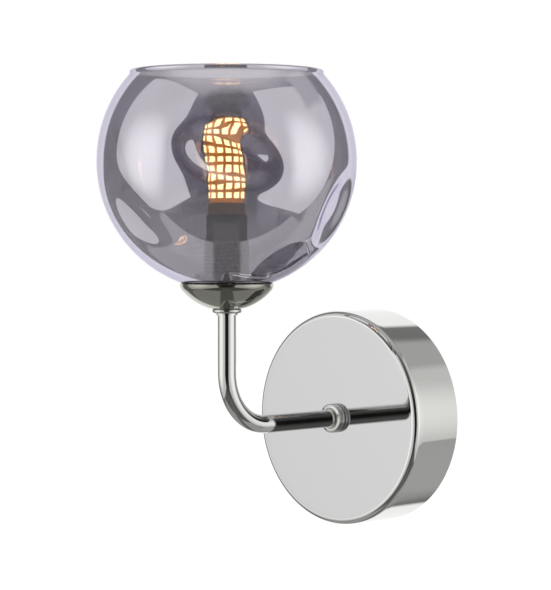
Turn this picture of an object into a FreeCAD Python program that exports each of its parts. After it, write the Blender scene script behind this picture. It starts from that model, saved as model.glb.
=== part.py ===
import FreeCAD
import Part
import math
import os

# Globe wall sconce with one pin lamp.
# The wall is the plane y = 0, the light reaches out along -Y, and +Z is up.
# The origin is the centre of the wall plate on the wall. All sizes are in millimetres.

V = FreeCAD.Vector

# Wall plate
plate_diameter = 120.0
plate_depth = 35.0
plate_wall = 1.2
plate_edge_radius = 2.2
plate_rim_fold = 2.4

# Wall bracket
bracket_thickness = 2.0
bracket_width = 20.0
bracket_bend_radius = 3.0
bracket_ear_reach = 18.0
ear_clearance = 0.5
wall_slot_spacing = 70.0
wall_slot_length = 14.0
wall_slot_width = 4.6
grub_diameter = 4.0
grub_length = 6.0
grub_from_wall = 11.0
grub_below_rim = 0.2

# Arm
arm_diameter = 10.0
arm_wall = 1.0
arm_reach = 120.0
bend_radius = 29.0
arm_inside_plate = 8.0
arm_inside_holder = 6.0

# Collars on the arm
collar_diameter = 16.4
plate_collar_length = 4.8
collar_groove_depth = 0.9
cup_collar_thickness = 2.8
cup_collar_height = 61.0

# Nuts and washers on the arm's threads
arm_nut_across_flats = 14.0
arm_nut_thickness = 4.0
holder_nut_thickness = 3.0
lock_washer_diameter = 18.0
lock_washer_thickness = 1.0
lock_washer_teeth = 8
nut_edge_ease = 0.8

# Cup under the globe
cup_rim_diameter = 50.8
cup_height = 13.2
cup_wall = 1.0
cup_floor_diameter = 20.0

# Lampholder
sleeve_diameter = 25.0
sleeve_wall = 1.9
sleeve_floor = 1.8
sleeve_height = 35.2
sleeve_flange_diameter = 34.0
sleeve_flange_thickness = 1.4
holder_head_diameter = 22.0
holder_head_height = 13.9
holder_socket_depth = 17.0
holder_tail_length = 16.0
pin_spacing = 9.0
pin_wire_diameter = 1.0
pin_loop_width = 4.4
pin_length = 15.6
slot_clearance = 0.8
contact_thickness = 0.4
contact_foot = 1.2

# Washers and ring that clamp the globe
washer_thickness = 1.5
upper_washer_thickness = 1.0
shade_ring_diameter = 34.0
shade_ring_height = 3.5
shade_ring_grips = 16
grip_radius = 1.1

# Glass globe
globe_diameter = 138.6
glass_wall = 2.5
mouth_diameter = 103.4
lip_height = 2.2
globe_seat_width = 4.5
globe_hole_clearance = 0.8
dent_blend_radius = 10.0
globe_seam_bearing = 45.0

# Dents pressed into the blown globe. Each has a bearing in degrees round the globe from +X,
# an elevation, half its length and half its width in degrees along the glass, its depth,
# and its tilt in degrees.
dents = [
    {"bearing": -44, "elevation": 2, "half_length": 21.5, "half_width": 12.5, "depth": 6.0, "tilt": -21},
    {"bearing": -93, "elevation": -29, "half_length": 17.5, "half_width": 10.0, "depth": 5.0, "tilt": -53},
    {"bearing": 21, "elevation": -23, "half_length": 13.3, "half_width": 10.8, "depth": 4.5, "tilt": 70},
    {"bearing": 3, "elevation": -53, "half_length": 14.0, "half_width": 8.6, "depth": 3.6, "tilt": 24},
    {"bearing": 80, "elevation": 5, "half_length": 16.8, "half_width": 10.8, "depth": 5.0, "tilt": 60},
    {"bearing": 151, "elevation": -33, "half_length": 17.5, "half_width": 11.5, "depth": 5.5, "tilt": -25},
    {"bearing": 206, "elevation": -2, "half_length": 16.8, "half_width": 10.8, "depth": 5.0, "tilt": 50},
]

# Pin lamp
lamp_base_diameter = 20.0
lamp_base_height = 6.4
lamp_core_wall = 1.6
lamp_cover_diameter = 21.0
lamp_cover_wall = 0.8
lamp_cover_edge = 1.8
lamp_height = 51.1
led_columns = 14
led_rows = 9
led_row_pitch = 4.76
led_size = 2.7
led_thickness = 0.5
led_first_row = 3.6

# Wiring
wire_diameter = 2.0
terminal_height = 16.0
terminal_depth = 11.0
terminal_wall = 2.2
terminal_above_axis = 9.0
terminal_screw_diameter = 2.5
terminal_screw_spacing = 8.0
earth_screw_diameter = 4.0
earth_below_axis = 14.0
screw_head_ratio = 1.9

# Fits, all radial unless the name says otherwise
thread_fit = 0.05
running_fit = 0.05
hole_fit = 0.15
wire_gap = 0.4
globe_gap = 0.35
led_gap = 0.15

# Worked out from the sizes above
plate_radius = plate_diameter / 2
plate_inner_radius = plate_radius - plate_wall
plate_inner_face = plate_depth - plate_wall
arm_radius = arm_diameter / 2
arm_bore_radius = arm_radius - arm_wall
wire_radius = wire_diameter / 2
wire_offset = arm_bore_radius - wire_radius - wire_gap
arm_end = plate_inner_face - arm_inside_plate
ear_outside = math.sqrt(plate_inner_radius ** 2 - (bracket_width / 2) ** 2) - ear_clearance
ear_inside = ear_outside - bracket_thickness
nut_corner_radius = arm_nut_across_flats / math.sqrt(3)
globe_radius = globe_diameter / 2
glass_inner_radius = globe_radius - glass_wall

# Terminal block behind the plate
terminal_width = 2 * wire_offset + wire_diameter + 2 * terminal_wall
terminal_bottom = terminal_above_axis
terminal_middle = terminal_bottom + terminal_height / 2
terminal_front = bracket_thickness + terminal_depth
terminal_bore = bracket_thickness + terminal_depth / 2
terminal_fixing_radius = max(wire_offset - wire_radius - wire_gap, 0.6) * 0.75

# Heights and radii on the globe's axis
cup_bottom = cup_collar_height + cup_collar_thickness
cup_floor = cup_bottom + cup_wall
cup_rim = cup_bottom + cup_height
sleeve_bottom = cup_floor
sleeve_top = sleeve_bottom + sleeve_height
sleeve_radius = sleeve_diameter / 2
sleeve_bore_radius = sleeve_radius - sleeve_wall
arm_top = sleeve_bottom + sleeve_floor + arm_inside_holder
holder_top = sleeve_top + holder_head_height
holder_bottom = sleeve_top - holder_tail_length
socket_floor = holder_top - holder_socket_depth
slot_width = pin_wire_diameter + 2 * slot_clearance
slot_length = pin_loop_width + 2 * slot_clearance
cup_lip = cup_wall / 2
cup_lip_radius = cup_rim_diameter / 2 - cup_lip
globe_centre = cup_rim - cup_lip + math.sqrt((globe_radius + cup_lip + globe_gap) ** 2 - cup_lip_radius ** 2)
globe_seat_radius = sleeve_radius + globe_seat_width
seat_drop = math.sqrt(globe_radius ** 2 - globe_seat_radius ** 2)
seat_inside_height = seat_drop - glass_wall
seat_inside_radius = math.sqrt(glass_inner_radius ** 2 - seat_inside_height ** 2)
globe_seat = globe_centre - seat_drop
globe_hole_radius = sleeve_radius + globe_hole_clearance
sleeve_flange_top = globe_seat - washer_thickness
ring_bottom = globe_seat + glass_wall + upper_washer_thickness
lamp_floor = holder_top
lamp_top = lamp_floor + lamp_height
core_bottom = lamp_floor + lamp_base_height
cover_radius = lamp_cover_diameter / 2
cover_bore_radius = cover_radius - lamp_cover_wall
core_radius = math.sqrt((cover_bore_radius - led_gap) ** 2 - (led_size / 2) ** 2) - led_thickness


def on_globe_axis(radius, height):
    """A point of a profile that turns about the globe's upright axis."""
    return V(radius, -arm_reach, height)


def on_plate_axis(radius, distance):
    """A point of a profile that turns about the plate's axis, at a distance from the wall."""
    return V(radius, -distance, 0)


def outline(place, steps):
    """A closed wire: each step is an end point, or a middle point and an end point for an arc."""
    start = place(*steps[0])
    here = start
    edges = []
    for step in steps[1:]:
        if len(step) == 4:
            middle = place(step[0], step[1])
            end = place(step[2], step[3])
            edges.append(Part.Arc(here, middle, end).toShape())
        else:
            end = place(*step)
            edges.append(Part.LineSegment(here, end).toShape())
        here = end
    if here.distanceToPoint(start) > 1e-6:
        edges.append(Part.LineSegment(here, start).toShape())
    return Part.Wire(edges)


def turned_on_globe_axis(steps):
    face = Part.Face(outline(on_globe_axis, steps))
    return face.revolve(V(0, -arm_reach, 0), V(0, 0, 1), 360)


def turned_on_plate_axis(steps):
    face = Part.Face(outline(on_plate_axis, steps))
    return face.revolve(V(0, 0, 0), V(0, 1, 0), 360)


def quarter(centre_r, centre_h, radius, from_angle, to_angle):
    """Middle and end of an arc about a centre in a profile, with angles in degrees."""
    middle = math.radians((from_angle + to_angle) / 2)
    end = math.radians(to_angle)
    return (centre_r + radius * math.cos(middle), centre_h + radius * math.sin(middle),
            centre_r + radius * math.cos(end), centre_h + radius * math.sin(end))


def tube_between(outer, inner, bottom, top):
    return turned_on_globe_axis([(inner, bottom), (outer, bottom), (outer, top), (inner, top)])


def hexagon(across_flats, thickness):
    """A hexagonal prism that stands on the XY plane."""
    corner_radius = across_flats / math.sqrt(3)
    points = []
    for index in range(7):
        angle = math.radians(60 * index)
        points.append(V(corner_radius * math.cos(angle), corner_radius * math.sin(angle), 0))
    return Part.Face(Part.makePolygon(points)).extrude(V(0, 0, thickness))


def hexagon_nut(across_flats, thickness, bore_radius):
    """A nut that stands on the XY plane, with the corners of its upper face eased by a cone."""
    flat_radius = across_flats / 2
    straight = thickness - nut_edge_ease
    body = Part.makeCylinder(across_flats, straight)
    cone = Part.makeCone(flat_radius + nut_edge_ease, flat_radius, nut_edge_ease, V(0, 0, straight))
    eased = hexagon(across_flats, thickness).common(body.fuse(cone))
    return eased.cut(Part.makeCylinder(bore_radius, thickness))


def pan_screw(diameter, length, head_ratio):
    """A pan head screw along +Z: the shank is below the XY plane and the head above it."""
    head_radius = diameter * head_ratio / 2
    head_height = diameter * 0.6
    shank = Part.makeCylinder(diameter / 2, length, V(0, 0, -length))
    head = Part.makeCylinder(head_radius, head_height)
    rim = [edge for edge in head.Edges if edge.BoundBox.ZMin > head_height / 2 and edge.Closed]
    head = head.makeFillet(head_height * 0.5, rim)
    bar = Part.makeBox(head_radius * 1.3, diameter * 0.2, head_height,
                       V(-head_radius * 0.65, -diameter * 0.1, head_height * 0.45))
    cross = bar.fuse(bar.rotated(V(0, 0, 0), V(0, 0, 1), 90))
    return head.fuse(shank).cut(cross).removeSplitter()


def upright_to_room(shape):
    """Turn a shape that stands on +Z so that it points out from the wall, along -Y."""
    return shape.rotated(V(0, 0, 0), V(1, 0, 0), 90)


def make_wall_plate():
    """Pressed cup: flat face, rounded front edge, and a folded rear rim that lies on the wall."""
    edge = plate_edge_radius
    inner_edge = max(edge - plate_wall, edge * 0.2)
    outer_corner = quarter(plate_radius - edge, plate_depth - edge, edge, 0, 90)
    inner_corner = quarter(plate_inner_radius - inner_edge, plate_inner_face - inner_edge,
                           inner_edge, 90, 0)
    hole = arm_radius + hole_fit
    plate = turned_on_plate_axis([
        (plate_radius, 0),
        (plate_radius, plate_depth - edge),
        outer_corner,
        (hole, plate_depth),
        (hole, plate_inner_face),
        (plate_inner_radius - inner_edge, plate_inner_face),
        inner_corner,
        (plate_inner_radius, plate_rim_fold),
        (plate_inner_radius - plate_rim_fold / 3, plate_rim_fold * 0.6),
        (plate_inner_radius - plate_rim_fold / 3, 0),
    ])
    for side in (1, -1):
        drill = Part.makeCylinder(grub_diameter / 2 + hole_fit, plate_radius,
                                  V(0, -grub_from_wall, 0), V(0, 0, side))
        plate = plate.cut(drill)
    return plate


def make_wall_bracket():
    """Steel strip against the wall, with two slots and two ears bent forward to the plate's rim."""
    outer = bracket_bend_radius
    inner = bracket_bend_radius - bracket_thickness * 0.9
    half = bracket_width / 2

    def place(height, distance):
        return V(-half, -distance, height)

    corner = ear_outside - outer
    wire = outline(place, [
        (corner, 0),
        quarter(corner, outer, outer, -90, 0),
        (ear_outside, bracket_ear_reach),
        (ear_inside, bracket_ear_reach),
        (ear_inside, bracket_thickness + inner),
        quarter(ear_inside - inner, bracket_thickness + inner, inner, 0, -90),
        (-ear_inside + inner, bracket_thickness),
        quarter(-ear_inside + inner, bracket_thickness + inner, inner, -90, -180),
        (-ear_inside, bracket_ear_reach),
        (-ear_outside, bracket_ear_reach),
        (-ear_outside, outer),
        quarter(-corner, outer, outer, 180, 270),
    ])
    strip = Part.Face(wire).extrude(V(bracket_width, 0, 0))
    slot_half = wall_slot_width / 2
    straight = wall_slot_length - wall_slot_width
    for side in (1, -1):
        centre = side * wall_slot_spacing / 2
        slot = Part.makeBox(wall_slot_width, bracket_thickness * 3, straight,
                            V(-slot_half, -bracket_thickness * 2, centre - straight / 2))
        for end in (-straight / 2, straight / 2):
            slot = slot.fuse(Part.makeCylinder(slot_half, bracket_thickness * 3,
                                               V(0, -bracket_thickness * 2, centre + end), V(0, 1, 0)))
        thread = Part.makeCylinder(grub_diameter / 2 + thread_fit, plate_radius,
                                   V(0, -grub_from_wall, side * ear_inside * 0.8), V(0, 0, side))
        strip = strip.cut(slot).cut(thread)
    earth = Part.makeCylinder(earth_screw_diameter / 2 + thread_fit, bracket_thickness * 3,
                              V(0, -bracket_thickness * 2, -earth_below_axis), V(0, 1, 0))
    fixing = Part.makeCylinder(terminal_screw_diameter / 2 + thread_fit, bracket_thickness * 3,
                               V(0, -bracket_thickness * 2, terminal_middle), V(0, 1, 0))
    return strip.cut(earth).cut(fixing)


def make_grub_screws():
    """Two socket grub screws that end flush with the plate's rim."""
    screws = []
    tip = plate_radius - grub_below_rim
    for side in (1, -1):
        base = V(0, -grub_from_wall, side * (tip - grub_length))
        screw = Part.makeCylinder(grub_diameter / 2, grub_length, base, V(0, 0, side))
        socket = hexagon(grub_diameter / 2, grub_length / 2)
        if side < 0:
            socket = socket.mirror(V(0, 0, 0), V(0, 0, 1))
        socket.translate(V(0, -grub_from_wall, side * (tip - grub_length / 2)))
        screws.append(screw.cut(socket))
    return Part.makeCompound(screws)


def make_terminal_block():
    """Two pole block on the bracket: two wire passages, four screw wells and a fixing hole."""
    block = Part.makeBox(terminal_width, terminal_depth, terminal_height,
                         V(-terminal_width / 2, -terminal_front, terminal_bottom))
    for side in (1, -1):
        passage = Part.makeCylinder(wire_radius + wire_gap / 2, terminal_height,
                                    V(side * wire_offset, -terminal_bore, terminal_bottom))
        block = block.cut(passage)
        for end in (1, -1):
            height = terminal_middle + end * terminal_screw_spacing / 2
            well = Part.makeCylinder(terminal_screw_diameter / 2 + thread_fit, terminal_depth / 2,
                                     V(side * wire_offset, -terminal_front, height), V(0, 1, 0))
            block = block.cut(well)
    waist = Part.makeBox(wire_gap * 2, terminal_depth * 0.55, terminal_height * 0.3,
                         V(-wire_gap, -terminal_front, terminal_bottom))
    block = block.cut(waist)
    fixing = Part.makeCylinder(terminal_fixing_radius + hole_fit, terminal_depth,
                               V(0, -terminal_front, terminal_middle), V(0, 1, 0))
    return block.cut(fixing)


def make_terminal_screws():
    """Four clamp screws in the block's wells, down to just above the wires."""
    screws = []
    length = terminal_depth / 2 - wire_radius - wire_gap
    for side in (1, -1):
        for end in (1, -1):
            height = terminal_middle + end * terminal_screw_spacing / 2
            screw = Part.makeCylinder(terminal_screw_diameter / 2, length * 0.85)
            slot = Part.makeBox(terminal_screw_diameter * 2, terminal_screw_diameter * 0.2, length,
                                V(-terminal_screw_diameter, -terminal_screw_diameter * 0.1,
                                  length * 0.6))
            screw = upright_to_room(screw.cut(slot))
            screw.translate(V(side * wire_offset, -terminal_bore - wire_radius - wire_gap, height))
            screws.append(screw)
    return Part.makeCompound(screws)


def make_terminal_fixing_screw():
    """Thin screw through the middle of the terminal block into the bracket."""
    length = terminal_depth + bracket_thickness
    screw = Part.makeCylinder(terminal_fixing_radius, length - hole_fit)
    screw = upright_to_room(screw)
    screw.translate(V(0, 0, terminal_middle))
    return screw


def make_earth_screw():
    """Earth terminal screw in the bracket."""
    screw = pan_screw(earth_screw_diameter, bracket_thickness * 2.6, screw_head_ratio)
    screw = upright_to_room(screw)
    screw.translate(V(0, -bracket_thickness * 2.6, -earth_below_axis))
    return screw


def make_earth_washer():
    """Square cup washer that the earth screw presses on the bracket."""
    side = earth_screw_diameter * screw_head_ratio * 1.25
    washer = Part.makeBox(side, side, bracket_thickness * 1.6, V(-side / 2, -side / 2, 0))
    hollow = Part.makeBox(side * 0.8, side * 1.1, bracket_thickness * 1.1, V(-side * 0.4, -side * 0.55, 0))
    hole = Part.makeCylinder(earth_screw_diameter / 2 + hole_fit, bracket_thickness * 2)
    washer = upright_to_room(washer.cut(hollow).cut(hole))
    washer.translate(V(0, -bracket_thickness, -earth_below_axis))
    return washer


def arm_route(side_shift, first, last):
    """The arm's middle line, shifted sideways, from a distance off the wall to a height."""
    corner = arm_reach - bend_radius
    centre = V(side_shift, -corner, bend_radius)
    half = math.radians(45)
    middle = centre + V(0, -bend_radius * math.sin(half), -bend_radius * math.cos(half))
    return [
        Part.LineSegment(V(side_shift, -first, 0), V(side_shift, -corner, 0)).toShape(),
        Part.Arc(V(side_shift, -corner, 0), middle, V(side_shift, -arm_reach, bend_radius)).toShape(),
        Part.LineSegment(V(side_shift, -arm_reach, bend_radius), V(side_shift, -arm_reach, last)).toShape(),
    ]


def swept(edges, radius):
    """A round bar along joined edges."""
    path = Part.Wire(edges)
    start = edges[0]
    direction = start.tangentAt(start.FirstParameter)
    section = Part.Wire([Part.makeCircle(radius, start.valueAt(start.FirstParameter), direction)])
    return path.makePipeShell([section], True, True)


def make_arm_tube():
    """Bent tube, threaded at both ends, from inside the plate up into the lampholder."""
    route = arm_route(0, arm_end, arm_top)
    return swept(route, arm_radius).cut(swept(route, arm_bore_radius))


def make_plate_collar():
    """Turned collar on the plate's face: two round ridges, a groove and a dished front."""
    ridge = plate_collar_length / 2
    bulge = ridge / 2
    outer = collar_diameter / 2
    base = plate_depth
    bore = arm_radius + thread_fit
    return turned_on_plate_axis([
        (bore, base),
        (outer - bulge, base),
        (outer - bulge * 0.3, base + bulge * 0.3, outer - bulge * 0.3, base + ridge - bulge * 0.3),
        (outer - collar_groove_depth, base + ridge),
        (outer - bulge * 0.2, base + ridge + bulge * 0.6, outer - bulge, base + 2 * ridge),
        (bore + bulge, base + 2 * ridge),
        (bore, base + 2 * ridge - bulge * 0.7),
    ])


def make_cup_collar():
    """Turned flange on the arm under the cup, with rounded edges and a small neck below it."""
    outer = collar_diameter / 2
    edge = cup_collar_thickness * 0.42
    low = cup_collar_height
    high = cup_bottom
    bore = arm_radius + thread_fit
    neck = arm_radius + collar_groove_depth
    drop = cup_collar_thickness * 0.3
    return turned_on_globe_axis([
        (bore, low - drop),
        (neck, low - drop),
        (neck, low),
        (outer - edge, low),
        quarter(outer - edge, low + edge, edge, -90, 0),
        (outer, high - edge),
        quarter(outer - edge, high - edge, edge, 0, 90),
        (bore, high),
    ])


def make_arm_nut():
    """Hexagon nut that pulls the arm into the plate from inside."""
    nut = upright_to_room(hexagon_nut(arm_nut_across_flats, arm_nut_thickness, arm_radius + thread_fit))
    nut.translate(V(0, -(plate_inner_face - lock_washer_thickness - arm_nut_thickness), 0))
    return nut.mirror(V(0, -(plate_inner_face - lock_washer_thickness - arm_nut_thickness / 2), 0),
                      V(0, 1, 0))


def make_lock_washer():
    """Toothed washer between the nut and the plate."""
    inner = arm_radius + hole_fit
    outer = lock_washer_diameter / 2
    washer = Part.makeCylinder(outer, lock_washer_thickness).cut(
        Part.makeCylinder(inner, lock_washer_thickness))
    notch_radius = (outer - inner) * 0.28
    for index in range(lock_washer_teeth):
        angle = 2 * math.pi * index / lock_washer_teeth
        notch = Part.makeCylinder(notch_radius, lock_washer_thickness,
                                  V(outer * math.cos(angle), outer * math.sin(angle), 0))
        washer = washer.cut(notch)
    washer = upright_to_room(washer)
    washer.translate(V(0, -(plate_inner_face - lock_washer_thickness), 0))
    return washer


def make_cup():
    """Spun bowl with a flat floor, which holds the lampholder, with the globe just above its rim."""
    rim = cup_rim_diameter / 2
    floor = cup_floor_diameter / 2
    centre = (rim ** 2 + cup_height ** 2 - floor ** 2) / (2 * cup_height)
    outer_bowl = math.sqrt(centre ** 2 + floor ** 2)
    inner_bowl = outer_bowl - cup_wall
    top = cup_height - cup_lip
    hole = arm_radius + hole_fit

    def on_bowl(bowl, height):
        return math.sqrt(bowl ** 2 - (centre - height) ** 2)

    return turned_on_globe_axis([
        (hole, cup_bottom),
        (floor, cup_bottom),
        (on_bowl(outer_bowl, top / 2), cup_bottom + top / 2, on_bowl(outer_bowl, top), cup_bottom + top),
        ((on_bowl(outer_bowl, top) + on_bowl(inner_bowl, top)) / 2, cup_rim,
         on_bowl(inner_bowl, top), cup_bottom + top),
        (on_bowl(inner_bowl, top / 2), cup_bottom + top / 2, on_bowl(inner_bowl, cup_wall), cup_floor),
        (hole, cup_floor),
    ])


def make_holder_sleeve():
    """Sleeve of the lampholder: a floor on the cup, a flange under the globe and a long threaded barrel."""
    hole = arm_radius + thread_fit
    flange = sleeve_flange_diameter / 2
    shelf = holder_bottom
    shelf_radius = sleeve_bore_radius - sleeve_wall * 0.8
    nut_seat = nut_corner_radius + wire_gap
    neck = sleeve_bore_radius - sleeve_wall * 0.5
    return turned_on_globe_axis([
        (hole, sleeve_bottom),
        (cup_floor_diameter / 2 - cup_wall, sleeve_bottom),
        (sleeve_radius - sleeve_wall * 0.4, sleeve_bottom + sleeve_floor * 1.6),
        (sleeve_radius - sleeve_wall * 0.4, sleeve_flange_top - sleeve_flange_thickness),
        (flange, sleeve_flange_top - sleeve_flange_thickness),
        (flange, sleeve_flange_top),
        (sleeve_radius, sleeve_flange_top),
        (sleeve_radius, sleeve_top),
        (sleeve_bore_radius, sleeve_top),
        (sleeve_bore_radius, shelf),
        (shelf_radius, shelf),
        (shelf_radius, shelf - sleeve_wall),
        (neck, shelf - sleeve_wall * 2),
        (neck, sleeve_bottom + sleeve_floor + neck - nut_seat),
        (nut_seat, sleeve_bottom + sleeve_floor),
        (hole, sleeve_bottom + sleeve_floor),
    ])


def make_holder_nut():
    """Hexagon nut on the arm's upper thread, inside the sleeve."""
    nut = hexagon_nut(arm_nut_across_flats, holder_nut_thickness, arm_radius + thread_fit)
    nut.translate(V(0, -arm_reach, sleeve_bottom + sleeve_floor))
    return nut


def make_holder_ceramic():
    """Ceramic insert: a head on the sleeve's end, two pin slots and two wire holes."""
    head = holder_head_diameter / 2
    body = sleeve_bore_radius - hole_fit
    ease = head * 0.06
    insert = turned_on_globe_axis([
        (0, holder_bottom),
        (body, holder_bottom),
        (body, sleeve_top),
        (head, sleeve_top),
        (head, holder_top - ease),
        (head - ease, holder_top),
        (0, holder_top),
    ])
    for side in (1, -1):
        slot = Part.makeBox(slot_width, slot_length, holder_socket_depth,
                            V(side * pin_spacing / 2 - slot_width / 2, -arm_reach - slot_length / 2,
                              socket_floor))
        hole = Part.makeCylinder(wire_radius + wire_gap / 2, socket_floor - holder_bottom + contact_foot,
                                 V(side * wire_offset, -arm_reach, holder_bottom))
        link = Part.makeBox(abs(pin_spacing / 2 - wire_offset) + slot_width / 2, wire_diameter,
                            contact_foot,
                            V(min(side * wire_offset, side * (pin_spacing / 2 + slot_width / 2)),
                              -arm_reach - wire_radius, socket_floor))
        insert = insert.cut(slot).cut(hole).cut(link)
    return insert


def make_holder_contacts():
    """Two spring contacts: a blade beside each pin and a foot that reaches over to the wire."""
    contacts = []
    blade_height = holder_socket_depth * 0.6
    for side in (1, -1):
        outer = pin_spacing / 2 + slot_width / 2 - wire_gap / 4
        blade = Part.makeBox(contact_thickness, pin_loop_width * 0.8, blade_height,
                             V(outer - contact_thickness, -pin_loop_width * 0.4, 0))
        foot = Part.makeBox(outer - wire_offset, wire_diameter * 0.8, contact_thickness,
                            V(wire_offset, -wire_diameter * 0.4, 0))
        contact = blade.fuse(foot).removeSplitter()
        if side < 0:
            contact = contact.mirror(V(0, 0, 0), V(1, 0, 0))
        contact.translate(V(0, -arm_reach, socket_floor + wire_gap / 2))
        contacts.append(contact)
    return Part.makeCompound(contacts)


def make_wire(side):
    """One insulated wire from the terminal block through the arm to its contact."""
    turn = terminal_bottom - wire_gap
    shift = side * wire_offset
    corner = terminal_bore + turn
    centre = V(shift, -corner, turn)
    half = math.radians(45)
    middle = centre + V(0, turn * math.sin(half), -turn * math.cos(half))
    into_block = terminal_bottom + terminal_height * 0.4
    lead = [
        Part.LineSegment(V(shift, -terminal_bore, into_block), V(shift, -terminal_bore, turn)).toShape(),
        Part.Arc(V(shift, -terminal_bore, turn), middle, V(shift, -corner, 0)).toShape(),
    ]
    route = lead + arm_route(shift, corner, socket_floor - wire_gap / 2)
    return swept(route, wire_radius)


def make_lower_washer():
    """Soft washer between the sleeve's flange and the globe's flat seat."""
    return tube_between(globe_seat_radius, sleeve_radius + hole_fit, sleeve_flange_top, globe_seat)


def make_upper_washer():
    """Soft washer between the globe's inner floor and the ring."""
    low = globe_seat + glass_wall
    return tube_between(seat_inside_radius - hole_fit, sleeve_radius + hole_fit, low, ring_bottom)


def make_shade_ring():
    """Threaded ring that clamps the globe, with finger grips round its edge."""
    outer = shade_ring_diameter / 2
    bore = sleeve_radius + running_fit
    top = ring_bottom + shade_ring_height
    ease = shade_ring_height * 0.15
    ring = turned_on_globe_axis([
        (bore, ring_bottom),
        (seat_inside_radius - hole_fit, ring_bottom),
        (outer, ring_bottom + ease * 2),
        (outer, top - ease),
        (outer - ease, top),
        (bore, top),
    ])
    for index in range(shade_ring_grips):
        angle = 2 * math.pi * index / shade_ring_grips
        groove = Part.makeCylinder(grip_radius, shade_ring_height,
                                   V(outer * math.cos(angle) + grip_radius * 0.4 * math.cos(angle),
                                     -arm_reach + (outer + grip_radius * 0.4) * math.sin(angle),
                                     ring_bottom))
        ring = ring.cut(groove)
    return ring


def dent_tool(dent, growth):
    """A barrel that presses one dent: its belly touches the dent's floor, grown by a wall."""
    half_length = globe_radius * math.sin(math.radians(dent["half_length"]))
    half_width = globe_radius * math.sin(math.radians(dent["half_width"]))

    def bend(half_size):
        drop = globe_radius - math.sqrt(globe_radius ** 2 - half_size ** 2)
        rise = dent["depth"] - drop
        return (half_size ** 2 + rise ** 2) / (2 * rise)

    along = bend(half_length)
    across = bend(half_width)
    floor = globe_radius - dent["depth"]
    axis_height = floor + across
    reach = half_length * 1.45
    belly = along + growth
    sag = belly - math.sqrt(belly ** 2 - reach ** 2)
    back = axis_height + across + growth
    points = [V(-reach, 0, back - sag), V(0, 0, back), V(reach, 0, back - sag)]
    arc = Part.Arc(*points).toShape()
    sides = Part.makePolygon([points[2], V(reach, 0, axis_height), V(-reach, 0, axis_height), points[0]])
    barrel = Part.Face(Part.Wire([arc] + sides.Edges)).revolve(V(0, 0, axis_height), V(1, 0, 0), 360)
    turn = FreeCAD.Rotation(V(0, 0, 1), dent["bearing"]).multiply(
        FreeCAD.Rotation(V(0, 1, 0), 90 - dent["elevation"])).multiply(
        FreeCAD.Rotation(V(0, 0, 1), 90 + dent["tilt"]))
    barrel.Placement = FreeCAD.Placement(V(0, 0, 0), turn)
    return barrel


def dented_form(profile, radius, growth, blend):
    """A turned form with its dents pressed in and their edges rounded."""
    form = profile.revolve(V(0, 0, 0), V(0, 0, 1), 360)
    for dent in dents:
        form = form.cut(dent_tool(dent, growth))
    rims = [edge for edge in form.Edges if is_dent_rim(edge, form, radius)]
    return form.makeFillet(blend, rims)


def is_dent_rim(edge, form, radius):
    """Whether an edge lies on the sphere, joins two faces and isn't a level circle."""
    middle = edge.valueAt((edge.FirstParameter + edge.LastParameter) / 2)
    on_sphere = abs(middle.Length - radius) < 0.1
    level = edge.BoundBox.ZLength < 0.01
    return on_sphere and not level and len(form.ancestorsOfType(edge, Part.Face)) == 2


def make_glass_shade():
    """Blown globe: dented wall of even thickness, flat seat round its hole, short rounded lip."""
    mouth = mouth_diameter / 2
    neck = math.sqrt(globe_radius ** 2 - mouth ** 2)
    inner_mouth = mouth - glass_wall
    inner_neck = math.sqrt(glass_inner_radius ** 2 - inner_mouth ** 2)
    top = neck + lip_height
    fire = glass_wall / 2

    seam = math.radians(globe_seam_bearing)

    def place(radius, height):
        return V(radius * math.cos(seam), radius * math.sin(seam), height)

    outer_face = Part.Face(outline(place, [
        (0, -seat_drop),
        (globe_seat_radius, -seat_drop),
        (globe_radius, 0, mouth, neck),
        (mouth, top - fire),
        (0, top - fire),
    ]))
    inner_face = Part.Face(outline(place, [
        (0, -seat_inside_height),
        (seat_inside_radius, -seat_inside_height),
        (glass_inner_radius, 0, inner_mouth, inner_neck),
        (inner_mouth, top),
        (0, top),
    ]))
    outer_form = dented_form(outer_face, globe_radius, 0, dent_blend_radius)
    inner_form = dented_form(inner_face, glass_inner_radius, glass_wall, dent_blend_radius - glass_wall)
    lip = Part.makeTorus(mouth - fire, fire, V(0, 0, top - fire))
    hole = Part.makeCylinder(globe_hole_radius, glass_wall * 3, V(0, 0, -seat_drop - glass_wall))
    glass = outer_form.cut(inner_form).cut(hole).fuse(lip).removeSplitter()
    glass.translate(V(0, -arm_reach, globe_centre))
    return glass


def make_lamp_base():
    """Plastic base of the lamp with a step that carries the core and the cover."""
    base = lamp_base_diameter / 2
    step = cover_bore_radius - hole_fit
    ease = lamp_base_height * 0.12
    return turned_on_globe_axis([
        (0, lamp_floor),
        (base - ease, lamp_floor),
        (base, lamp_floor + ease),
        (base, core_bottom - lamp_cover_wall),
        (step, core_bottom - lamp_cover_wall),
        (step, core_bottom),
        (0, core_bottom),
    ])


def make_lamp_core():
    """Hollow column that carries the light chips."""
    top = lamp_top - lamp_cover_wall - hole_fit
    inner = core_radius - lamp_core_wall
    return turned_on_globe_axis([
        (inner, core_bottom),
        (core_radius, core_bottom),
        (core_radius, top),
        (0, top),
        (0, top - lamp_core_wall),
        (inner, top - lamp_core_wall),
    ])


def make_lamp_leds():
    """Square light chips in rows and columns on the core."""
    chips = []
    for row in range(led_rows):
        height = core_bottom + led_first_row + row * led_row_pitch
        for column in range(led_columns):
            chip = Part.makeBox(led_thickness, led_size, led_size,
                                V(core_radius, -led_size / 2, -led_size / 2))
            chip.rotate(V(0, 0, 0), V(0, 0, 1), 360 * (column + 0.5) / led_columns)
            chip.translate(V(0, -arm_reach, height))
            chips.append(chip)
    return Part.makeCompound(chips)


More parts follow.
